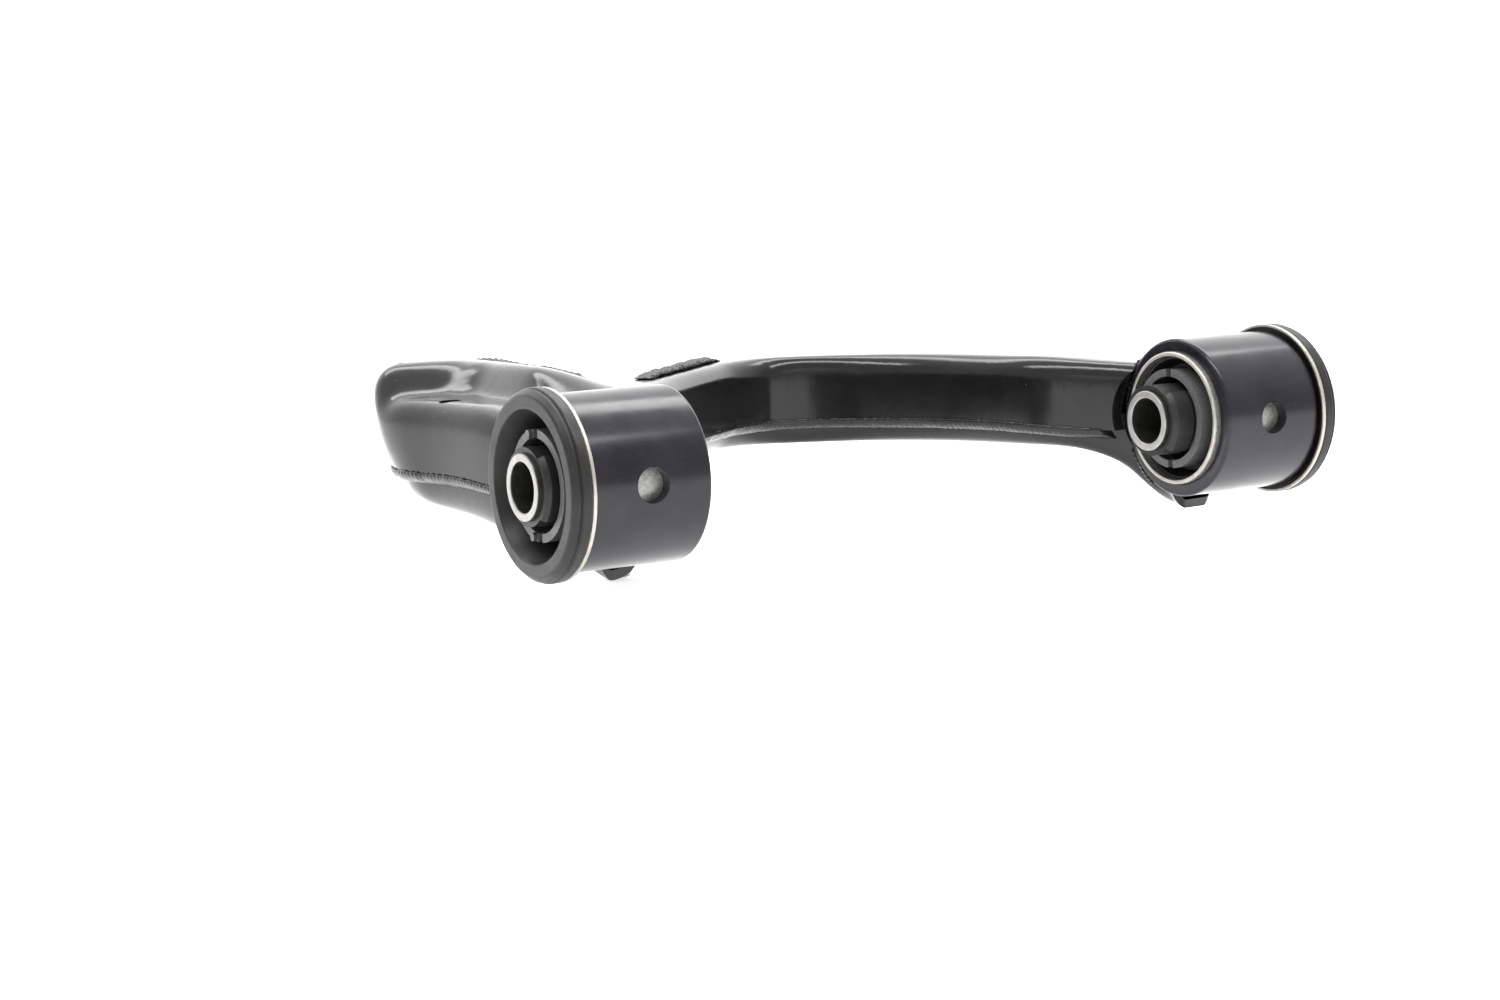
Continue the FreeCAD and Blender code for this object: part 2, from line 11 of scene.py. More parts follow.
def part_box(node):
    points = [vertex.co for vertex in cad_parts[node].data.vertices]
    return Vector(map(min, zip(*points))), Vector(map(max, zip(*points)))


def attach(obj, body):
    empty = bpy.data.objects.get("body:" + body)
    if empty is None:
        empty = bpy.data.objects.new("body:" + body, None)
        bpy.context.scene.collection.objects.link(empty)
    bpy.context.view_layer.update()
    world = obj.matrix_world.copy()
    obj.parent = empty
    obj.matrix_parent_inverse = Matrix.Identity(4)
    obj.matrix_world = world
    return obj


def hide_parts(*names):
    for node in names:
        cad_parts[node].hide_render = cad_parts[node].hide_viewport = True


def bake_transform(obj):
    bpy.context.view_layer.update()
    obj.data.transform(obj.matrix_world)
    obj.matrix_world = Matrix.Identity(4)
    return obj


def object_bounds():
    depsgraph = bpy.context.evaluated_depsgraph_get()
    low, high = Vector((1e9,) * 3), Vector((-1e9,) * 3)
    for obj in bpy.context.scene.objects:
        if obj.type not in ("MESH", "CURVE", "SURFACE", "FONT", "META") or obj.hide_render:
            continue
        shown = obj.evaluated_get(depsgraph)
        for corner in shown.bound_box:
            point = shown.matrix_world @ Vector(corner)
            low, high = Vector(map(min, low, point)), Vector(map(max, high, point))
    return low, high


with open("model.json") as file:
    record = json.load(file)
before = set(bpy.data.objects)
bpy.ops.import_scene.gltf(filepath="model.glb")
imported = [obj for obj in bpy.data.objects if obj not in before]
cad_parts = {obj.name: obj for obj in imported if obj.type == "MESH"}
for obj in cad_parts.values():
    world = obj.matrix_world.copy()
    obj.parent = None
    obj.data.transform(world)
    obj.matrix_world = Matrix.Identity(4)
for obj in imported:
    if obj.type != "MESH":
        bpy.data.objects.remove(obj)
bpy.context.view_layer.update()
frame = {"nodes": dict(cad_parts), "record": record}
MM = 0.001

# ---------------------------------------------------------------- materials


def shader(name, metallic=0.0, ior=1.5):
    """A material, its node tree and its surface, a Principled node."""
    material = bpy.data.materials.new(name)
    material.use_nodes = True
    tree = material.node_tree
    surface = tree.nodes["Principled BSDF"]
    surface.inputs["Metallic"].default_value = metallic
    surface.inputs["IOR"].default_value = ior
    return material, tree, surface


def place(tree, stretch=(1, 1, 1)):
    """The object's own coordinates in metres, each times its factor. A factor
    over 1 squeezes the pattern along that axis."""
    coordinates = tree.nodes.new("ShaderNodeTexCoord")
    mapping = tree.nodes.new("ShaderNodeMapping")
    mapping.inputs["Scale"].default_value = stretch
    tree.links.new(coordinates.outputs["Object"], mapping.inputs["Vector"])
    return mapping.outputs["Vector"]


def grain(tree, size_mm, detail=4.0, roughness=0.55, stretch=(1, 1, 1), twist=0.0):
    """Noise whose features are about this size."""
    node = tree.nodes.new("ShaderNodeTexNoise")
    node.inputs["Scale"].default_value = 1 / (size_mm * MM)
    node.inputs["Detail"].default_value = detail
    node.inputs["Roughness"].default_value = roughness
    node.inputs["Distortion"].default_value = twist
    tree.links.new(place(tree, stretch), node.inputs["Vector"])
    return node.outputs["Fac"]


def specks(tree, spacing_mm, size):
    """Small round dots: 1 in the middle of some cells and 0 between them."""
    node = tree.nodes.new("ShaderNodeTexVoronoi")
    node.inputs["Scale"].default_value = 1 / (spacing_mm * MM)
    tree.links.new(place(tree), node.inputs["Vector"])
    return ramp(tree, node.outputs["Distance"], [(size * 0.5, (1, 1, 1)), (size, (0, 0, 0))])


def ramp(tree, value, stops):
    """A colour for each value, from stops of (position, colour)."""
    node = tree.nodes.new("ShaderNodeValToRGB")
    elements = node.color_ramp.elements
    while len(elements) < len(stops):
        elements.new(0.5)
    for element, (position, colour) in zip(elements, stops):
        element.position = position
        element.color = (*colour, 1)
    tree.links.new(value, node.inputs["Fac"])
    return node.outputs["Color"]


def between(tree, value, low, high, from_low=0.3, from_high=0.7):
    """Maps a value to a range and holds it there."""
    node = tree.nodes.new("ShaderNodeMapRange")
    node.inputs["From Min"].default_value = from_low
    node.inputs["From Max"].default_value = from_high
    node.inputs["To Min"].default_value = low
    node.inputs["To Max"].default_value = high
    tree.links.new(value, node.inputs["Value"])
    return node.outputs["Result"]


# A Mix node has one set of sockets per type, all under the same names. These
# are the places of the factor and of the colour ones.
MIX_FACTOR, MIX_FIRST, MIX_SECOND, MIX_RESULT = 0, 6, 7, 2


def blended(tree, amount, first, second):
    """Mixes two colours, each a socket or a plain colour, by an amount."""
    node = tree.nodes.new("ShaderNodeMix")
    node.data_type = "RGBA"
    tree.links.new(amount, node.inputs[MIX_FACTOR])
    for place_in_node, colour in ((MIX_FIRST, first), (MIX_SECOND, second)):
        if isinstance(colour, tuple):
            node.inputs[place_in_node].default_value = (*colour, 1)
        else:
            tree.links.new(colour, node.inputs[place_in_node])
    return node.outputs[MIX_RESULT]


def calculated(tree, operation, first, second=0.0):
    """One step of arithmetic on sockets or plain numbers."""
    node = tree.nodes.new("ShaderNodeMath")
    node.operation = operation
    for socket, value in zip(node.inputs, (first, second)):
        if isinstance(value, (float, int)):
            socket.default_value = value
        else:
            tree.links.new(value, socket)
    return node.outputs["Value"]


def parts_of(tree, vector):
    """The X, Y and Z sockets of a vector."""
    node = tree.nodes.new("ShaderNodeSeparateXYZ")
    tree.links.new(vector, node.inputs["Vector"])
    return node.outputs


def axis_radius(tree):
    """Distance from the axis of the two bushings, in mm."""
    spot = parts_of(tree, place(tree, (1 / MM, 1 / MM, 1 / MM)))
    squares = calculated(tree, "ADD", calculated(tree, "MULTIPLY", spot["Y"], spot["Y"]),
                         calculated(tree, "MULTIPLY", spot["Z"], spot["Z"]))
    return calculated(tree, "SQRT", squares)


def faces_along_axis(tree):
    """1 on the end faces of a part turned about X and 0 on its round walls,
    from how far the normal leans along X."""
    coordinates = tree.nodes.new("ShaderNodeTexCoord")
    along = parts_of(tree, coordinates.outputs["Normal"])["X"]
    return between(tree, calculated(tree, "ABSOLUTE", along), 0, 1,
                   from_low=0.55, from_high=0.75)


def relief(tree, surface, *layers):
    """Chains bump layers, each (height, depth in mm, strength)."""
    normal = None
    for height, depth_mm, strength in layers:
        node = tree.nodes.new("ShaderNodeBump")
        node.inputs["Distance"].default_value = depth_mm * MM
        node.inputs["Strength"].default_value = strength
        tree.links.new(height, node.inputs["Height"])
        if normal is not None:
            tree.links.new(normal, node.inputs["Normal"])
        normal = node.outputs["Normal"]
    tree.links.new(normal, surface.inputs["Normal"])


# Colours that lie over the finishes.
DUST = (0.12, 0.116, 0.11)
STAIN = (0.12, 0.1, 0.085)
RUBBER_DUST = (0.05, 0.046, 0.043)


def dulled(tree, surface, patches, roughness):
    """Lets the roughness wander between two values, after a patchy noise."""
    low, high = roughness
    tree.links.new(between(tree, patches, low, high), surface.inputs["Roughness"])


def paint(name, dark, light, roughness, peel_mm, dust, draw=0.12, ior=1.36):
    """Baked black coat on pressed or turned steel: mottled colour, scuffs that
    grey it, fine orange peel and dots of dust, whose size is dust. draw is the
    strength of the wide waves that pressing leaves."""
    material, tree, surface = shader(name, ior=ior)
    mottle = ramp(tree, grain(tree, 14, detail=5, roughness=0.6), [(0.32, dark), (0.7, light)])
    rubbed = grain(tree, 3.5, detail=8, roughness=0.75, stretch=(1, 1, 2.5), twist=0.6)
    scuff = between(tree, rubbed, 0, 0.7, from_low=0.58, from_high=0.76)
    scuffed = tuple(1.8 * channel + 0.002 for channel in light)
    coat = blended(tree, scuff, mottle, scuffed)
    dotted = blended(tree, specks(tree, 5.5, dust), coat, DUST)
    tree.links.new(dotted, surface.inputs["Base Color"])
    dulled(tree, surface, grain(tree, 9, detail=7, roughness=0.7), roughness)
    relief(tree, surface,
           (grain(tree, 26, detail=2, roughness=0.4), 0.3, draw),
           (grain(tree, peel_mm, detail=2, roughness=0.5), 0.016, 0.3),
           (grain(tree, 0.25, detail=2, roughness=0.5), 0.006, 0.3))
    return material


def metal(name, base, tint, roughness, lines=None, stain=0.0):
    """Bare or plated steel, stained in places. lines, if given, squeezes a
    pattern along the part's axis into the fine lines of turning."""
    material, tree, surface = shader(name, metallic=1.0)
    tone = ramp(tree, grain(tree, 6, detail=6, roughness=0.65), [(0.3, base), (0.72, tint)])
    spotty = grain(tree, 1.6, detail=8, roughness=0.8, twist=0.5)
    marks = between(tree, spotty, 0, stain, from_low=0.55, from_high=0.75)
    tree.links.new(blended(tree, marks, tone, STAIN), surface.inputs["Base Color"])
    dulled(tree, surface, grain(tree, 2.2, detail=7, roughness=0.75), roughness)
    layers = [(grain(tree, 0.5, detail=3, roughness=0.6), 0.02, 0.35)]
    if lines:
        layers.append((grain(tree, 4.0, detail=3, roughness=0.7, stretch=lines), 0.02, 0.5))
    relief(tree, surface, *layers)
    return material


# The can's bands, each fading between two radii in mm: where the turned end
# of its tube stops, and where the black flange and its turned rim start.
MOUTH_STOPS = (21.2, 21.6)
BLACK_STARTS = (21.6, 22.0)
RIM_STARTS = (26.2, 26.5)


def can_metal():
    """The bushing's can: phosphated steel, black on its flange, and bright
    where the flange's rim and the end of the tube were turned."""
    material, tree, surface = shader("can_steel", metallic=0.75)
    coat = ramp(tree, grain(tree, 1.1, detail=8, roughness=0.8),
                [(0.36, (0.14, 0.14, 0.135)), (0.66, (0.34, 0.335, 0.32))])
    radius = axis_radius(tree)
    black = between(tree, radius, 0, 1, *BLACK_STARTS)
    coated = blended(tree, black, coat, (0.006, 0.006, 0.006))
    rim = between(tree, radius, 0, 1, *RIM_STARTS)
    mouth = calculated(tree, "MULTIPLY", faces_along_axis(tree),
                       between(tree, radius, 1, 0, *MOUTH_STOPS))
    bright = calculated(tree, "MAXIMUM", rim, mouth)
    turned = ramp(tree, grain(tree, 3, detail=6, roughness=0.7, stretch=(6, 1, 1)),
                  [(0.3, (0.27, 0.255, 0.23)), (0.7, (0.4, 0.38, 0.345))])
    tree.links.new(blended(tree, bright, coated, turned), surface.inputs["Base Color"])
    dulled(tree, surface, grain(tree, 2.2, detail=7, roughness=0.75), (0.3, 0.52))
    relief(tree, surface, (grain(tree, 0.6, detail=4, roughness=0.7), 0.03, 0.5))
    return material


def tube_metal():
    """The bushing's inner tube: steel with bright turned ends. Its round walls, bore and all,
    are near black, a painted shade that stands for the shade in the bore.
    """
    material, tree, surface = shader("tube_steel", metallic=0.85)
    # Painted shade: the round walls, the bore among them, get this near-black colour for the
    # shade in the bore.
    dark = ramp(tree, grain(tree, 5, detail=6, roughness=0.65),
                [(0.3, (0.035, 0.034, 0.032)), (0.72, (0.075, 0.072, 0.068))])
    bright = ramp(tree, grain(tree, 2.5, detail=5, roughness=0.6),
                  [(0.3, (0.25, 0.244, 0.235)), (0.7, (0.33, 0.322, 0.312))])
    ends = faces_along_axis(tree)
    tree.links.new(blended(tree, ends, dark, bright), surface.inputs["Base Color"])
    dulled(tree, surface, grain(tree, 2.2, detail=5, roughness=0.6), (0.34, 0.46))
    relief(tree, surface,
           (grain(tree, 0.5, detail=3, roughness=0.6), 0.012, 0.3),
           (grain(tree, 4.0, detail=3, roughness=0.7, stretch=(9, 0.6, 0.6)), 0.012, 0.3))
    return material


def elastomer(name, dark, bloom, roughness):
    """Moulded rubber: near black, greyer where wax has bloomed."""
    material, tree, surface = shader(name, ior=1.48)
    surface.inputs["Specular IOR Level"].default_value = 0.3
    waxy = grain(tree, 7, detail=6, roughness=0.65, twist=0.4)
    tone = ramp(tree, waxy, [(0.34, dark), (0.74, bloom)])
    dusty = blended(tree, specks(tree, 4.5, 0.05), tone, RUBBER_DUST)
    tree.links.new(dusty, surface.inputs["Base Color"])
    dulled(tree, surface, grain(tree, 4, detail=6, roughness=0.7), roughness)
    relief(tree, surface,
           (grain(tree, 5, detail=4, roughness=0.5), 0.05, 0.3),
           (grain(tree, 0.35, detail=3, roughness=0.6), 0.02, 0.4))
    return material


def plastic(name, base, fleck, roughness):
    """Filled plastic with fine flecks drawn out by the flow, and a matt skin."""
    material, tree, surface = shader(name)
    flecks = grain(tree, 1.2, detail=8, roughness=0.8, stretch=(1, 1, 3))
    tree.links.new(ramp(tree, flecks, [(0.35, base), (0.68, fleck)]),
                   surface.inputs["Base Color"])
    dulled(tree, surface, grain(tree, 3, detail=5, roughness=0.6), roughness)
    relief(tree, surface, (grain(tree, 0.4, detail=3, roughness=0.6), 0.03, 0.5))
    return material


FINISHES = {
    "arm_paint": paint("arm_paint", dark=(0.0035, 0.0035, 0.0037),
                       light=(0.0062, 0.0062, 0.0066), roughness=(0.13, 0.21),
                       peel_mm=1.6, dust=0.035),
    "sleeve_paint": paint("sleeve_paint", dark=(0.0022, 0.0019, 0.0038),
                          light=(0.0095, 0.008, 0.0125), roughness=(0.13, 0.26),
                          peel_mm=1.1, dust=0.03, draw=0.07, ior=1.37),
    "weld_paint": paint("weld_paint", dark=(0.0045, 0.0045, 0.0045),
                        light=(0.011, 0.0105, 0.0105), roughness=(0.18, 0.36),
                        peel_mm=0.7, dust=0.04),
    "forged_paint": paint("forged_paint", dark=(0.006, 0.006, 0.006),
                          light=(0.013, 0.0128, 0.0125), roughness=(0.3, 0.46),
                          peel_mm=0.8, dust=0.04),
    "plated_steel": metal("plated_steel", base=(0.42, 0.42, 0.4), tint=(0.56, 0.54, 0.5),
                          roughness=(0.26, 0.42), stain=0.35),
    "can_steel": can_metal(),
    "tube_steel": tube_metal(),
    "stud_steel": metal("stud_steel", base=(0.3, 0.3, 0.3), tint=(0.44, 0.43, 0.42),
                        roughness=(0.26, 0.42), lines=(0.6, 0.6, 9), stain=0.5),
    "spring_wire": metal("spring_wire", base=(0.4, 0.39, 0.37), tint=(0.55, 0.53, 0.5),
                         roughness=(0.22, 0.36), stain=0.4),
    "bushing_rubber": elastomer("bushing_rubber", dark=(0.0038, 0.0035, 0.0034),
                                bloom=(0.0095, 0.0088, 0.0082), roughness=(0.36, 0.5)),
    "boot_rubber": elastomer("boot_rubber", dark=(0.0045, 0.0045, 0.0045),
                             bloom=(0.012, 0.0117, 0.0115), roughness=(0.36, 0.5)),
    "ring_plastic": plastic("ring_plastic", base=(0.035, 0.035, 0.036),
                            fleck=(0.085, 0.084, 0.083), roughness=(0.4, 0.6)),
    "liner_plastic": plastic("liner_plastic", base=(0.62, 0.6, 0.53),
                             fleck=(0.74, 0.72, 0.65), roughness=(0.35, 0.5)),
}

slot_of = {part["node"]: part["material_slot"] for part in frame["record"]["subparts"]}
for node, thing in frame["nodes"].items():
    thing.data.materials.clear()
    thing.data.materials.append(FINISHES[slot_of[node]])

# ------------------------------------------------------------ mesh helpers

SHARP_EDGE = math.radians(42)
ROUND_SEGMENTS = 96


def new_piece(name, vertices, faces, slot_name, body, *replaced):
    """A smooth mesh piece in the frame, with its finish, body and CAD nodes."""
    mesh = bpy.data.meshes.new(name)
    mesh.from_pydata([tuple(v) for v in vertices], [], faces)
    mesh.validate()
    mesh.shade_smooth()
    mesh.set_sharp_from_angle(angle=SHARP_EDGE)
    mesh.materials.append(FINISHES[slot_name])
    piece = bpy.data.objects.new(name, mesh)
    bpy.context.scene.collection.objects.link(piece)
    if replaced:
        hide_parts(*replaced)
    if body:
        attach(piece, body)
    return piece


def smooth_line(points, steps):
    """Points along a Catmull-Rom curve through the given ones."""
    line = []
    ends = [points[0]] + list(points) + [points[-1]]
    for i in range(1, len(ends) - 2):
        a, b, c, d = (np.array(p, float) for p in ends[i - 1:i + 3])
        for k in range(steps):
            t = k / steps
            line.append(0.5 * (2 * b + (c - a) * t + (2 * a - 5 * b + 4 * c - d) * t * t
                               + (3 * b - a - 3 * c + d) * t ** 3))
    line.append(np.array(points[-1], float))
    return line


def turned_point(centre, radius, height, angle):
    """A point of a part turned about a vertical axis. Radius and height are in
    mm, and the height is the frame's own."""
    return (centre.x + radius * MM * math.cos(angle),
            centre.y + radius * MM * math.sin(angle), height * MM)


def lathed(outline, centre):
    """Closed turned surface from a closed outline of (radius, height)."""
    vertices = []
    for turn in range(ROUND_SEGMENTS):
        angle = 2 * math.pi * turn / ROUND_SEGMENTS
        for radius, height in outline:
            vertices.append(turned_point(centre, radius, height, angle))
    count = len(outline)
    faces = []
    for turn in range(ROUND_SEGMENTS):
        following = (turn + 1) % ROUND_SEGMENTS
        for k in range(count):
            after = (k + 1) % count
            faces.append((turn * count + k, following * count + k,
                          following * count + after, turn * count + after))
    return vertices, faces


def swept_wire(path, radius, sides=10):
    """Closed round wire along a path of points."""
    vertices = []
    faces = []
    count = len(path)
    for i, spot in enumerate(path):
        along = (path[min(i + 1, count - 1)] - path[max(i - 1, 0)]).normalized()
        side = along.cross(Vector((0, 0, 1))).normalized()
        up = side.cross(along)
        for k in range(sides):
            angle = 2 * math.pi * k / sides
            vertices.append(spot + side * (radius * math.cos(angle))
                            + up * (radius * math.sin(angle)))
    for i in range(count - 1):
        for k in range(sides):
            after = (k + 1) % sides
            faces.append((i * sides + k, i * sides + after,
                          (i + 1) * sides + after, (i + 1) * sides + k))
    faces.append(tuple(reversed(range(sides))))
    faces.append(tuple((count - 1) * sides + k for k in range(sides)))
    return vertices, faces


# ------------------------------------------------------------------- welds

# Size in mm of a bead's remeshed faces.
VOXEL = 0.45

# A long bead starts in the front half of the arm, and its path is walked in
# steps towards the middle of the vertices within reach. Its vertices are then
# matched to the path a block at a time, which saves memory.
FRONT_HALF = 110 * MM
WALK_STEP = 1.5 * MM
WALK_REACH = 4.5 * MM
MOST_STEPS = 600
FEWEST_IN_REACH = 4
BLOCK = 4000

# How many features each noise has in a metre of bead.
WANDER_RATE = 90
LUMP_RATE = 240
SKIN_RATE = 900
LUMP_SHIFT = Vector((3, 1, 2))

# How far a ripple trails with the distance from the bead's middle, how far it
# strays in parts of the pitch, and the depth of the rough skin in mm.
RIPPLE_LAG = 0.35
RIPPLE_STRAY = 0.35
SKIN_MM = 0.06


def remeshed(node):
    """The node's shape as an even mesh: vertices, normals and faces."""
    copy = frame["nodes"][node].copy()
    copy.data = copy.data.copy()
    bpy.context.scene.collection.objects.link(copy)
    remesh = copy.modifiers.new("even", "REMESH")
    remesh.mode = "VOXEL"
    remesh.voxel_size = VOXEL * MM
    depsgraph = bpy.context.evaluated_depsgraph_get()
    mesh = bpy.data.meshes.new_from_object(copy.evaluated_get(depsgraph))
    spots = np.array([v.co for v in mesh.vertices])
    normals = np.array([v.normal for v in mesh.vertices])
    faces = [tuple(p.vertices) for p in mesh.polygons]
    bpy.data.objects.remove(copy)
    bpy.data.meshes.remove(mesh)
    return spots, normals, faces


def run_of_bead(spots):
    """Distance along a long bead and distance across it, for each vertex,
    found by walking along the bead from its front end."""
    front = spots[spots[:, 0] < FRONT_HALF]
    here = front[np.argmin(front[:, 1])]
    way = np.array([0.0, 1.0, 0.0])
    path = [here]
    while len(path) < MOST_STEPS:
        ahead = here + way * WALK_STEP
        near = spots[np.linalg.norm(spots - ahead, axis=1) < WALK_REACH]
        near = near[(near - here) @ way > 0]
        if len(near) < FEWEST_IN_REACH:
            break
        centre = near.mean(axis=0)
        way = (centre - here) / np.linalg.norm(centre - here)
        here = here + way * WALK_STEP
        path.append(here)
    path = np.array(path)
    nearest = np.empty(len(spots), int)
    for first in range(0, len(spots), BLOCK):
        block = spots[first:first + BLOCK]
        gaps = np.linalg.norm(block[:, None, :] - path[None, :, :], axis=2)
        nearest[first:first + BLOCK] = gaps.argmin(axis=1)
    ways = np.gradient(path, axis=0)
    ways /= np.linalg.norm(ways, axis=1)[:, None]
    offset = spots - path[nearest]
    lead = (offset * ways[nearest]).sum(axis=1)
    return nearest * WALK_STEP + lead, np.linalg.norm(offset, axis=1)


def rippled_weld(node, run, pitch_mm, ripple_mm, lump_mm):
    """A weld bead with the stacked ripples of a moving pool, a lumpy height
    and a rough skin. run gives the distance along and across the bead."""
    spots, normals, faces = remeshed(node)
    along, across = run(spots)
    phase = (along - RIPPLE_LAG * across) / (pitch_mm * MM)
    for i in range(len(spots)):
        spot = Vector(spots[i])
        wander = noise.noise(spot * WANDER_RATE)
        crest = abs(math.sin(math.pi * (phase[i] + RIPPLE_STRAY * wander)))
        lump = noise.noise(spot * LUMP_RATE + LUMP_SHIFT)
        skin = noise.noise(spot * SKIN_RATE)
        push = ripple_mm * (0.5 - crest) + lump_mm * lump + SKIN_MM * skin
        spots[i] += normals[i] * push * MM
    new_piece(node + "_bead", spots, faces, "weld_paint", "arm", node)


def run_of_strip(first, last):
    """Distance along a straight strip between two points, and across it."""
    way = np.array(last) - np.array(first)
    way /= np.linalg.norm(way)

    def run(spots):
        offset = spots - np.array(first)
        along = offset @ way
        return along, np.linalg.norm(offset - along[:, None] * way, axis=1)
    return run


def run_of_saddle(spots):
    """Distance round a sleeve plus distance along it. Nothing counts as across."""
    radius = np.hypot(spots[:, 1], spots[:, 2])
    turn = np.arctan2(spots[:, 2], spots[:, 1])
    return turn * radius + spots[:, 0], np.zeros(len(spots))


for seam in ("inner_seam_weld", "outer_seam_weld"):
    rippled_weld(seam, run_of_bead, pitch_mm=1.9, ripple_mm=0.12, lump_mm=0.14)
for saddle in ("front_sleeve_weld", "rear_sleeve_weld"):
    rippled_weld(saddle, run_of_saddle, pitch_mm=1.8, ripple_mm=0.3, lump_mm=0.35)

# The front strip climbs across its box from corner to corner. The rear one
# runs level along the top of its own.
low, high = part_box("front_slot_weld")
front_strip = run_of_strip((high.x, low.y, low.z), (low.x, high.y, high.z))
low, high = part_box("rear_slot_weld")
rear_strip = run_of_strip((low.x, low.y, high.z), (high.x, high.y, high.z))
for slot_node, strip in (("front_slot_weld", front_strip), ("rear_slot_weld", rear_strip)):
    rippled_weld(slot_node, strip, pitch_mm=2.1, ripple_mm=0.5, lump_mm=0.6)

# -------------------------------------------------------------- ball joint

ball_low, ball_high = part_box("ball_stud")
STUD_AXIS = Vector(((ball_low.x + ball_high.x) / 2, (ball_low.y + ball_high.y) / 2, 0))

# Sizes and heights of the stud and the boot are in mm.
STUD_END = ball_low.z / MM
BALL_TOP = ball_high.z / MM
BALL_RADIUS = (ball_high.x - ball_low.x) / 2 / MM
BALL_CENTRE = BALL_TOP - BALL_RADIUS
BALL_STEPS = 39
NECK_RADIUS = 6.3
SEAT_TOP = STUD_END + 28.0
SEAT_RADIUS = 8.0
TAPER_TOP = STUD_END + 21.9
TAPER_TOP_RADIUS = 7.3
TAPER_END_RADIUS = 6.58
TAPER_LENGTH = 10.1
THREAD_TOP = STUD_END + 11.4
THREAD_RADIUS = 6.0
THREAD_DEPTH = 0.7
THREAD_PITCH = 1.25
THREAD_RUNS_OUT = 1.2
CENTRE_DIMPLE = 1.0


def stud_outline():
    """Radius and height of the stud, from the ball's top to its end."""
    neck_angle = math.asin(NECK_RADIUS / BALL_RADIUS)
    line = []
    for k in range(1, BALL_STEPS + 1):
        angle = (math.pi - neck_angle) * k / BALL_STEPS
        line.append((BALL_RADIUS * math.sin(angle), BALL_CENTRE + BALL_RADIUS * math.cos(angle)))
    neck = np.linspace(line[-1][1] - 0.5, SEAT_TOP + 4.0, 8)
    line += [(NECK_RADIUS, height) for height in neck]
    # The neck flares into the seat that the boot's foot hugs.
    line += [(6.42, SEAT_TOP + 3.0), (6.75, SEAT_TOP + 2.0), (7.2, SEAT_TOP + 1.1),
             (7.65, SEAT_TOP + 0.45), (7.9, SEAT_TOP), (SEAT_RADIUS, SEAT_TOP - 0.4),
             (SEAT_RADIUS, SEAT_TOP - 5.1), (7.85, SEAT_TOP - 5.4), (7.4, SEAT_TOP - 5.6)]
    line.append((TAPER_TOP_RADIUS, TAPER_TOP))
    narrows = TAPER_END_RADIUS - TAPER_TOP_RADIUS
    line += [(TAPER_TOP_RADIUS + narrows * t, TAPER_TOP - TAPER_LENGTH * t)
             for t in np.linspace(0.05, 1, 14)]
    line += [(6.3, THREAD_TOP + 0.35), (THREAD_RADIUS - 0.5, THREAD_TOP + 0.1)]
    thread = np.linspace(THREAD_TOP, STUD_END + 1.15, 92)
    line += [(THREAD_RADIUS, height) for height in thread]
    # The chamfered end, and the dimple that the lathe's centre leaves.
    line += [(THREAD_RADIUS - 0.6, STUD_END + 0.5), (4.9, STUD_END), (1.5, STUD_END),
             (1.1, STUD_END + 0.3), (0.3, STUD_END + 0.9)]
    return line


def thread_cut(height, turn_part):
    """How deep the thread is cut at a height, a part of a turn round."""
    phase = (height / THREAD_PITCH - turn_part) % 1.0
    flank = min(1.0, max(0.0, 2.6 * abs(phase - 0.5) - 0.1))
    fade = min(1.0, (THREAD_TOP - height) / THREAD_RUNS_OUT)
    return THREAD_DEPTH * flank * fade


def threaded_stud():
    """The stud, with its thread as a real helix."""
    line = stud_outline()
    vertices = []
    for turn in range(ROUND_SEGMENTS):
        angle = 2 * math.pi * turn / ROUND_SEGMENTS
        for radius, height in line:
            if height <= THREAD_TOP and radius > THREAD_RADIUS - 1:
                radius -= thread_cut(height, turn / ROUND_SEGMENTS)
            vertices.append(turned_point(STUD_AXIS, radius, height, angle))
    count = len(line)
    top = len(vertices)
    faces = []
    for turn in range(ROUND_SEGMENTS):
        following = (turn + 1) % ROUND_SEGMENTS
        for k in range(count - 1):
            faces.append((turn * count + k, turn * count + k + 1,
                          following * count + k + 1, following * count + k))
    vertices.append((STUD_AXIS.x, STUD_AXIS.y, BALL_TOP * MM))
    vertices.append((STUD_AXIS.x, STUD_AXIS.y, (STUD_END + CENTRE_DIMPLE) * MM))
    for turn in range(ROUND_SEGMENTS):
        following = (turn + 1) % ROUND_SEGMENTS
        faces.append((top, turn * count, following * count))
        faces.append((top + 1, following * count + count - 1, turn * count + count - 1))
    new_piece("stud_with_thread", vertices, faces, "stud_steel", "stud", "ball_stud")


threaded_stud()

# Walls of the gaiter as (radius, height), from the top down: a grip band, two
# soft folds and a foot that hugs the stud's seat. It is cut in two at FOLD.
boot_low, boot_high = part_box("dust_boot")
BOOT_TOP = boot_high.z / MM
BOOT_FOOT = boot_low.z / MM
FOLD = BOOT_TOP - 10.0
UPPER_WALL = [(22.2, BOOT_TOP), (22.25, BOOT_TOP - 0.7), (22.0, BOOT_TOP - 1.6),
              (22.25, BOOT_TOP - 2.6), (22.0, BOOT_TOP - 3.4), (20.9, BOOT_TOP - 4.4),
              (21.6, BOOT_TOP - 5.4), (22.6, BOOT_TOP - 6.9), (22.1, BOOT_TOP - 8.6),
              (20.2, FOLD)]
UPPER_INSIDE = [(19.1, BOOT_TOP), (19.15, BOOT_TOP - 4.4), (20.2, BOOT_TOP - 5.6),
                (21.2, BOOT_TOP - 7.0), (20.7, BOOT_TOP - 8.2), (18.8, FOLD + 0.2)]
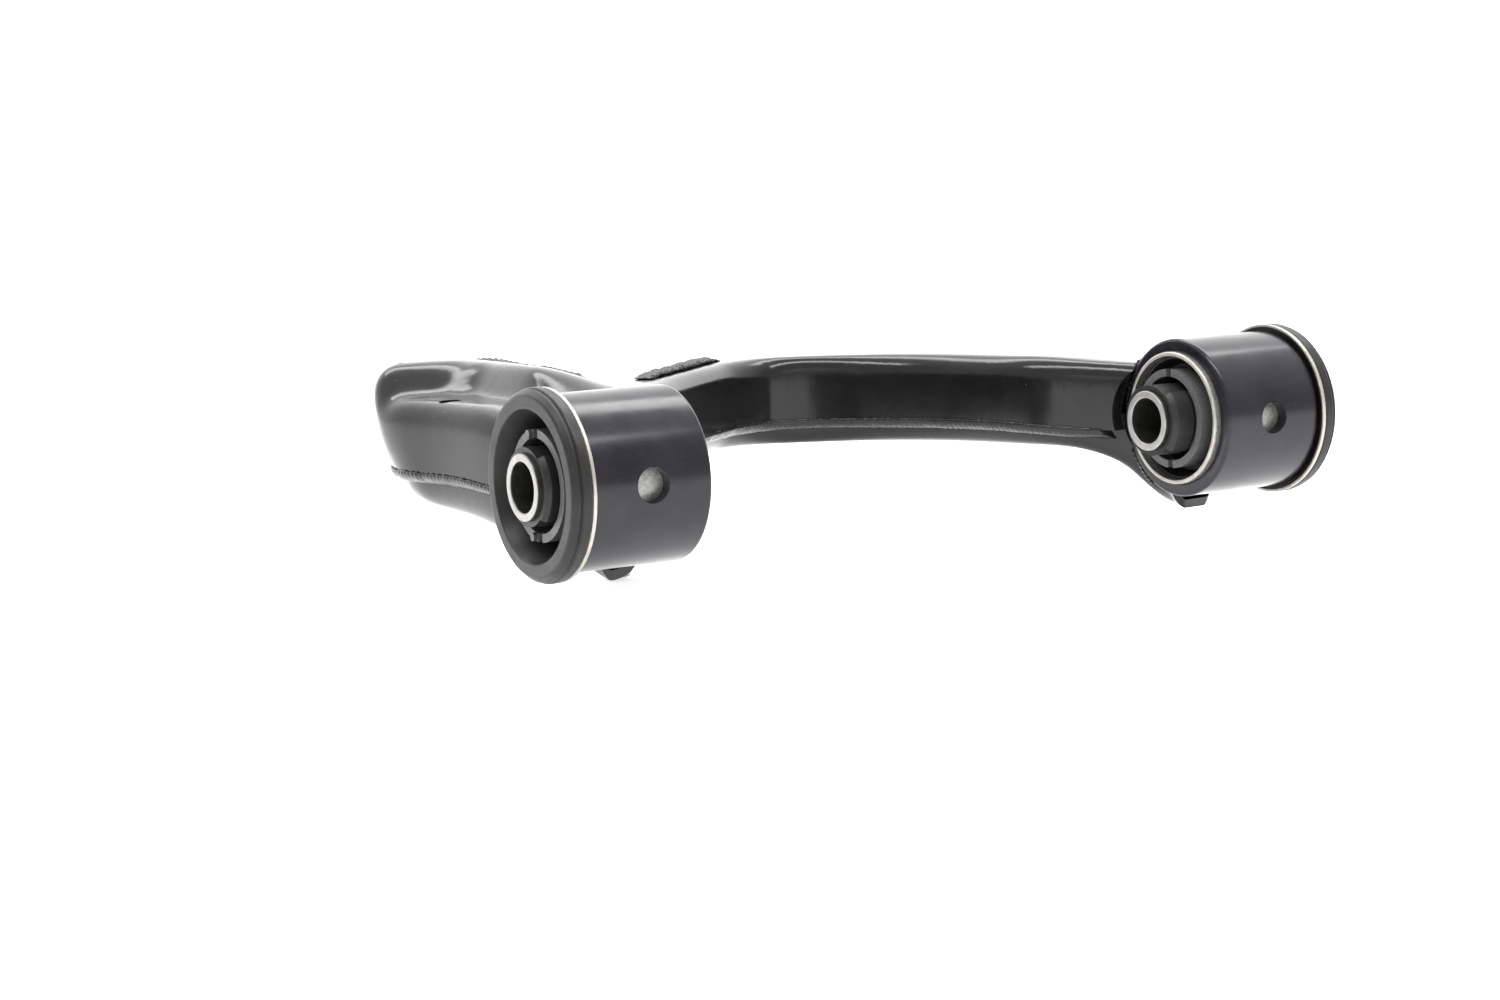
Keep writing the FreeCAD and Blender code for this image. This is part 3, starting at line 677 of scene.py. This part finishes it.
LOWER_WALL = [(20.2, FOLD), (20.5, FOLD - 0.9), (19.9, FOLD - 1.9), (17.6, FOLD - 2.7),
              (15.6, FOLD - 3.0), (15.4, FOLD - 3.7), (14.4, FOLD - 4.3),
              (11.7, BOOT_FOOT + 3.8), (11.0, BOOT_FOOT + 2.6), (10.9, BOOT_FOOT + 1.9),
              (11.0, BOOT_FOOT + 1.2), (10.7, BOOT_FOOT)]
LOWER_INSIDE = [(18.8, FOLD - 0.2), (18.7, FOLD - 1.2), (16.8, FOLD - 1.7),
                (14.2, FOLD - 2.4), (13.6, FOLD - 3.0), (10.6, BOOT_FOOT + 4.6),
                (8.1, BOOT_FOOT + 3.7), (8.1, BOOT_FOOT + 0.1)]
WALL_STEPS = 5


def boot_half(name, wall, inside, replaced=()):
    """One half of the gaiter, turned about the stud's axis."""
    outline = smooth_line(wall, WALL_STEPS) + list(reversed(smooth_line(inside, WALL_STEPS)))
    vertices, faces = lathed([tuple(p) for p in outline], STUD_AXIS)
    piece = new_piece(name, vertices, faces, "boot_rubber", None, *replaced)
    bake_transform(piece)


boot_half("dust_boot_upper", UPPER_WALL, UPPER_INSIDE, ("dust_boot",))
boot_half("dust_boot_lower", LOWER_WALL, LOWER_INSIDE)

CLIP_TURNS = 2.2
CLIP_STEPS = 64
CLIP_START = 0.8


def wire_clip(node, body, wire_radius):
    """A spring clip: a few turns of wire laid side by side."""
    low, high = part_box(node)
    centre = (low + high) / 2
    ring = (high.x - low.x) / 2 - wire_radius
    length = (high.z - low.z) - 2 * wire_radius
    steps = int(CLIP_STEPS * CLIP_TURNS)
    path = []
    for k in range(steps + 1):
        angle = 2 * math.pi * CLIP_TURNS * k / steps + CLIP_START
        height = low.z + wire_radius + length * k / steps
        path.append(Vector((centre.x + ring * math.cos(angle),
                            centre.y + ring * math.sin(angle), height)))
    vertices, faces = swept_wire(path, wire_radius)
    new_piece(node + "_wire", vertices, faces, "spring_wire", body, node)


wire_clip("boot_upper_clip", "arm", 0.4 * MM)
wire_clip("boot_lower_clip", "boot_foot", 0.35 * MM)

# ------------------------------------------------------------------- stage

low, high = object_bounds()
CENTRE = (low + high) / 2
FLOOR = low.z - 1.0 * MM
FLOOR_HALF = 12.0
FLOOR_GLOW = 0.45


def white_floor():
    """A bright card under the arm, which can be seen through from below."""
    mesh = bpy.data.meshes.new("floor")
    corners = [(x * FLOOR_HALF, y * FLOOR_HALF, FLOOR)
               for x, y in ((-1, -1), (1, -1), (1, 1), (-1, 1))]
    mesh.from_pydata(corners, [], [(0, 1, 2, 3)])
    material, tree, surface = shader("floor_card")
    tone = ramp(tree, grain(tree, 300, detail=3),
                [(0.3, (0.86, 0.86, 0.86)), (0.7, (0.88, 0.88, 0.88))])
    tree.links.new(tone, surface.inputs["Base Color"])
    surface.inputs["Roughness"].default_value = 0.9
    surface.inputs["Specular IOR Level"].default_value = 0.0
    surface.inputs["Emission Color"].default_value = (1, 1, 1, 1)
    surface.inputs["Emission Strength"].default_value = FLOOR_GLOW
    see_through = tree.nodes.new("ShaderNodeBsdfTransparent")
    from_below = tree.nodes.new("ShaderNodeNewGeometry")
    sides = tree.nodes.new("ShaderNodeMixShader")
    tree.links.new(from_below.outputs["Backfacing"], sides.inputs[0])
    tree.links.new(surface.outputs[0], sides.inputs[1])
    tree.links.new(see_through.outputs[0], sides.inputs[2])
    tree.links.new(sides.outputs[0], tree.nodes["Material Output"].inputs["Surface"])
    mesh.materials.append(material)
    card = bpy.data.objects.new("floor", mesh)
    bpy.context.scene.collection.objects.link(card)
    return card


floor = white_floor()

# The camera as fitted to the sleeve rims of the photo: where it stands in the
# frame, in metres, and which way it looks.
CAMERA_PLACE = Vector((-0.3681, -0.6862, 0.0893))
AZIMUTH = math.radians(31.06)
DIP = math.radians(7.106)
ROLL = math.radians(-2.29)
LENS = 67.4
SENSOR_WIDTH = 36


def photo_camera():
    """The camera, level at first and then rolled about the way it looks."""
    data = bpy.data.cameras.new("camera")
    data.sensor_width = SENSOR_WIDTH
    data.lens = LENS
    camera = bpy.data.objects.new("camera", data)
    bpy.context.scene.collection.objects.link(camera)
    forward = Vector((math.sin(AZIMUTH) * math.cos(DIP), math.cos(AZIMUTH) * math.cos(DIP),
                      -math.sin(DIP)))
    level = Vector((math.cos(AZIMUTH), -math.sin(AZIMUTH), 0))
    upright = level.cross(forward)
    right = level * math.cos(ROLL) + upright * math.sin(ROLL)
    up = upright * math.cos(ROLL) - level * math.sin(ROLL)
    camera.matrix_world = Matrix.Translation(CAMERA_PLACE) @ Matrix(
        (right, up, -forward)).transposed().to_4x4()
    bpy.context.scene.camera = camera


photo_camera()

NEAR_BRIGHTNESS = 1.1
FAR_BRIGHTNESS = 2.4
ROOM_RISE = 0.25


def white_room():
    """A bright white world, dimmer on the camera's side."""
    world = bpy.data.worlds.new("studio")
    bpy.context.scene.world = world
    world.use_nodes = True
    tree = world.node_tree
    sky = tree.nodes["Background"]
    coordinates = tree.nodes.new("ShaderNodeTexCoord")
    facing = tree.nodes.new("ShaderNodeVectorMath")
    facing.operation = "DOT_PRODUCT"
    facing.inputs[1].default_value = (math.sin(AZIMUTH), math.cos(AZIMUTH), ROOM_RISE)
    tree.links.new(coordinates.outputs["Generated"], facing.inputs[0])
    strength = between(tree, facing.outputs["Value"], NEAR_BRIGHTNESS, FAR_BRIGHTNESS,
                       from_low=-0.2, from_high=0.75)
    tree.links.new(strength, sky.inputs["Strength"])
    sky.inputs["Color"].default_value = (1, 1, 1, 1)


white_room()


def soft_box(name, height_angle, turn, distance, width, depth, radiance):
    """An area light that faces the object's middle. Angles are in degrees,
    turned from the camera's side; radiance is how bright its face is."""
    lift = math.radians(height_angle)
    around = AZIMUTH + math.radians(turn)
    way = Vector((-math.sin(around) * math.cos(lift), -math.cos(around) * math.cos(lift),
                  math.sin(lift)))
    data = bpy.data.lights.new(name, "AREA")
    data.shape = "RECTANGLE"
    data.size = width
    data.size_y = depth
    data.energy = radiance * math.pi * width * depth
    lamp = bpy.data.objects.new(name, data)
    lamp.location = CENTRE + way * distance
    lamp.rotation_euler = way.to_track_quat("Z", "Y").to_euler()
    bpy.context.scene.collection.objects.link(lamp)


soft_box("overhead_box", height_angle=67, turn=0, distance=1.1, width=1.6, depth=0.2,
         radiance=17.0)
soft_box("back_box", height_angle=64, turn=180, distance=1.4, width=1.8, depth=0.4,
         radiance=8.0)
soft_box("front_box", height_angle=19, turn=0, distance=1.6, width=1.4, depth=0.3,
         radiance=0.9)

scene = bpy.context.scene
scene.view_settings.view_transform = "Standard"
scene.view_settings.look = "None"
